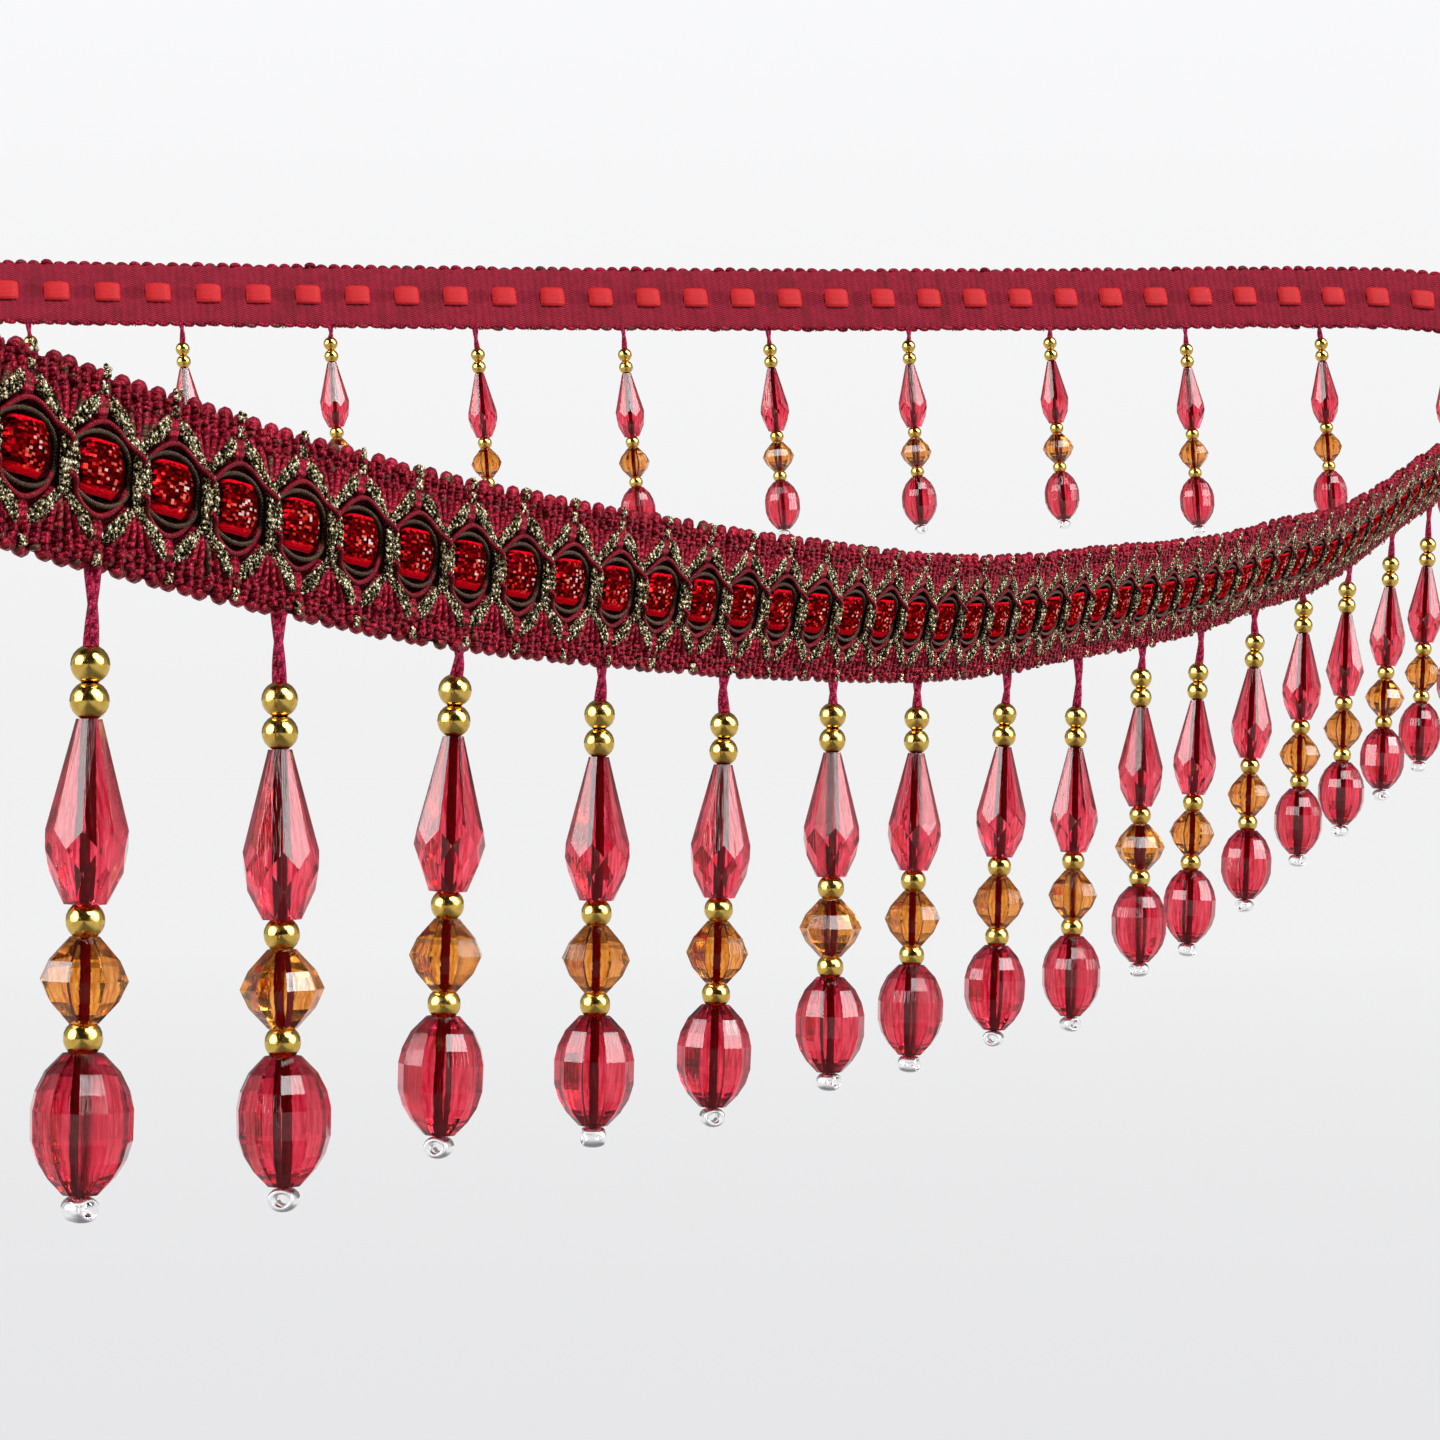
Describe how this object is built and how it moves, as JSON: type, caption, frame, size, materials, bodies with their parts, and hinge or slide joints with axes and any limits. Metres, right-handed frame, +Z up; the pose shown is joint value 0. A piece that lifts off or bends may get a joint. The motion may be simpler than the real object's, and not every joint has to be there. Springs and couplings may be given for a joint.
{
  "type": "beaded fringe trim, a hanging length",
  "caption": "Hung length of knitted trim with braid-framed ribbon windows and a row of faceted bead drops, for edging curtains, shades and cushions.",
  "frame": {"origin": "hang point on the band's top edge, in the middle of the turn that joins the two runs", "axes": "+Z up, +X to the right in the picture, +Y away from the viewer; the front run comes towards -Y and the back run returns along -X"},
  "size_m": [0.5229, 0.9565, 0.2105],
  "materials": {
    "burgundy_yarn": "matt knitted viscose yarn, ribbed",
    "metallic_braid": "black and olive flat braid flecked with cream-gold metallic yarn",
    "brown_gimp": "twisted gimp cord, satin",
    "red_ribbon": "glittering metallic ribbon",
    "gold_bead": "bright gold plated plastic",
    "ruby_bead": "clear ruby faceted acrylic",
    "amber_bead": "clear amber faceted acrylic",
    "clear_bead": "clear glass"
  },
  "bodies": {
    "root": {"ground_band": "burgundy_yarn", "ribbon": "red_ribbon", "braid_lattice": "metallic_braid", "drop_01": "ruby_bead", "drop_02": "ruby_bead", "drop_03": "ruby_bead", "drop_04": "ruby_bead", "drop_05": "ruby_bead", "drop_06": "ruby_bead", "drop_07": "ruby_bead", "drop_08": "ruby_bead", "drop_09": "ruby_bead", "drop_10": "ruby_bead", "drop_11": "ruby_bead", "drop_12": "ruby_bead", "drop_13": "ruby_bead", "drop_14": "ruby_bead", "drop_15": "ruby_bead", "drop_16": "ruby_bead", "drop_17": "ruby_bead", "drop_18": "ruby_bead", "drop_19": "ruby_bead", "drop_20": "ruby_bead", "drop_21": "ruby_bead", "drop_22": "ruby_bead", "drop_23": "ruby_bead", "drop_24": "ruby_bead", "drop_25": "ruby_bead", "drop_26": "ruby_bead", "drop_27": "ruby_bead", "drop_28": "ruby_bead", "drop_29": "ruby_bead", "drop_30": "ruby_bead", "drop_31": "ruby_bead", "drop_32": "ruby_bead", "drop_33": "ruby_bead"}
  },
  "joints": []
}
